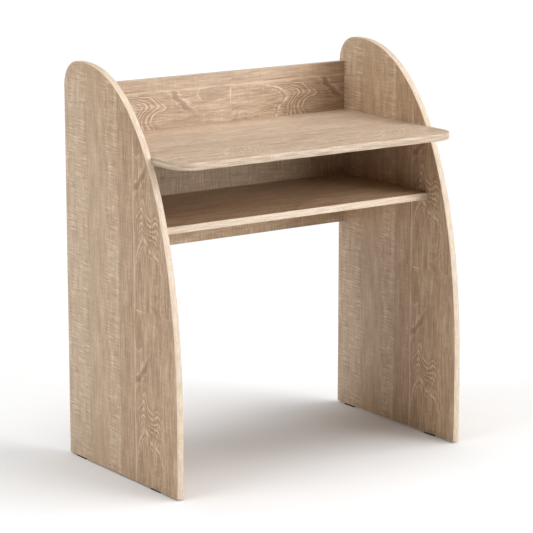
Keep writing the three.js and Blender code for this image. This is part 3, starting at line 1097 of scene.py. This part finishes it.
def joint_fittings(zinc, steel, beech):
    """A cam lock, a bolt and a dowel in every place where a board meets a side panel."""
    cam = cam_master()
    bolt = bolt_master()
    dowel = dowel_master()
    joint_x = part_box("worktop_edge_band")[1].x
    for board, places in joint_places.items():
        for end, side in ends.items():
            turn = [] if side > 0 else [("Z", 180)]
            for place in places:
                tail = f"{board}_{end}_{place}"
                node = "cam_lock_" + tail
                low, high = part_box(node)
                middle = middle_of(node)
                if board == "back":
                    cam_turn = turn + [("X", 90)]
                    cam_place = (middle.x, high.y, middle.z)
                else:
                    cam_turn = turn
                    cam_place = (middle.x, middle.y, low.z)
                fit(cam, "cam_" + tail, cam_turn, cam_place, zinc, "zinc", node)
                for master, kind, material, slot in (
                        (bolt, "cam_bolt", steel, "steel"), (dowel, "dowel", beech, "beech")):
                    node = f"{kind}_{tail}"
                    spot = middle_of(node)
                    at = (side * joint_x, spot.y, spot.z)
                    fit(master, f"{kind}_piece_{tail}", turn, at, material, slot, node)
    for master in (cam, bolt, dowel):
        bpy.data.objects.remove(master)


# ------------------------------------------------------------- floor, light, camera

floor_size = 60
pale_floor = (0.88, 0.88, 0.88, 1)
dull_floor = (0.86, 0.86, 0.86, 1)
sky_strength = 0.06

# Each lamp's name, with the place it shines from, its strength and its spread in degrees.
studio_suns = {
    "overhead": ((0.1, -0.1, 4.0), 2.2, 60),
    "front_right": ((2.7, -4.2, 1.3), 2.3, 40),
    "key_right": ((3.2, -1.2, 2.1), 0.85, 35),
    "fill_left": ((-3.7, 0.2, 1.5), 1.16, 40),
}

camera_film = 36
camera_lens = 165.07
camera_turn = math.radians(-35.208)
camera_rise = math.radians(12.258)
camera_distance = 5.6925
camera_target = (-0.0023, -0.0052, 0.4403)


def lay_floor():
    clear_selection()
    bpy.ops.mesh.primitive_plane_add(size=floor_size, location=(0, 0, 0))
    floor = named("studio_floor")
    material, r, shader, where = new_finish("studio_floor")
    shade = r.noise(where, scale=3, detail=2)
    r.feed(shader.inputs["Base Color"], r.paint(shade, dull_floor, pale_floor))
    shader.inputs["Roughness"].default_value = 0.9
    shader.inputs["Specular IOR Level"].default_value = 0.1
    floor.data.materials.append(material)


def aim(thing, target):
    line = Vector(target) - thing.location
    thing.rotation_euler = line.to_track_quat("-Z", "Y").to_euler()


def soft_sun(name, place, strength, spread):
    """Even light from far away, from the side that place lies on; spread softens it."""
    lamp = bpy.data.lights.new(name, "SUN")
    lamp.energy = strength
    lamp.angle = math.radians(spread)
    light = bpy.data.objects.new(name, lamp)
    bpy.context.scene.collection.objects.link(light)
    light.location = place
    aim(light, (0, 0, 0))


def set_lights():
    world = bpy.data.worlds.new("studio")
    bpy.context.scene.world = world
    world.use_nodes = True
    sky = world.node_tree.nodes["Background"]
    sky.inputs["Color"].default_value = (1, 1, 1, 1)
    sky.inputs["Strength"].default_value = sky_strength
    for name, (place, strength, spread) in studio_suns.items():
        soft_sun(name, place, strength, spread)


def set_camera():
    camera_data = bpy.data.cameras.new("camera")
    camera_data.sensor_width = camera_film
    camera_data.lens = camera_lens
    camera = bpy.data.objects.new("camera", camera_data)
    bpy.context.scene.collection.objects.link(camera)
    away = Vector((
        math.sin(camera_turn) * math.cos(camera_rise),
        -math.cos(camera_turn) * math.cos(camera_rise),
        math.sin(camera_rise)))
    camera.location = Vector(camera_target) + camera_distance * away
    aim(camera, camera_target)
    bpy.context.scene.camera = camera


# ------------------------------------------------------------------------- assembly

oak_print = oak_print_group()
side_oak = oak_finish(
    "side_oak", ("y", -1, -59), ("z", 1, 0), flame=1.0, planks=1.1, marks=1.0, grain=1.05)
back_oak = oak_finish(
    "back_oak", ("z", -1, 838), ("x", 1, 356), flame=1.25, planks=1.0, marks=1.0, grain=1.1,
    pale_print_and_sheen=0.04)
# The worktop's paleness is partly a paler print and partly painted sheen.
worktop_oak = oak_finish(
    "worktop_oak", ("y", -1, -75), ("x", 1, 320), flame=0.9, planks=0.8, marks=0.8, grain=2.1,
    pale_print_and_sheen=0.15)
shelf_oak = oak_finish(
    "shelf_oak", ("y", 1, 120), ("x", 1, 240), flame=0.4, planks=0.5, marks=0.4, grain=1.1)
side_edging = band_finish(
    "side_edging", "x", pale=colour(217, 199, 178), brown=colour(200, 178, 155), streak_length=30)
worktop_edging = band_finish(
    "worktop_edging", "z", pale=colour(206, 188, 168), brown=colour(176, 151, 127),
    streak_length=60)
shelf_edging = band_finish(
    "shelf_edging", "z", pale=colour(230, 214, 194), brown=colour(211, 189, 165),
    streak_length=60, length_axis="x")
back_edging = band_finish(
    "back_edging", "y", pale=colour(212, 194, 173), brown=colour(194, 172, 149),
    streak_length=60, length_axis="x")
plastic = glide_finish()
zinc = metal_finish(
    "cast_zinc", dull=colour(150, 149, 146), bright=colour(188, 186, 182), roughness=0.34,
    grain_scale=900)
steel = metal_finish(
    "plated_steel", dull=colour(176, 174, 166), bright=colour(208, 206, 198), roughness=0.24,
    grain_scale=1400)
beech = beech_finish()

for end in ends:
    side_board(end, side_oak)
    side_band(end, side_edging)
worktop_board(worktop_oak)
worktop_band(worktop_edging)
flat_board("shelf_board", "keyboard_shelf", shelf_oak, "oak_board", drilled="shelf")
flat_board("shelf_band", "keyboard_shelf_edge_band", shelf_edging, "edge_band")
flat_board("back_board", "back_panel", back_oak, "oak_board", drilled="back")
flat_board("back_band_top", "back_panel_top_edge_band", back_edging, "edge_band")
flat_board("back_band_bottom", "back_panel_bottom_edge_band", back_edging, "edge_band")
glides(plastic, steel)
joint_fittings(zinc, steel, beech)
lay_floor()
set_lights()
set_camera()
bpy.context.scene.view_settings.view_transform = "Standard"
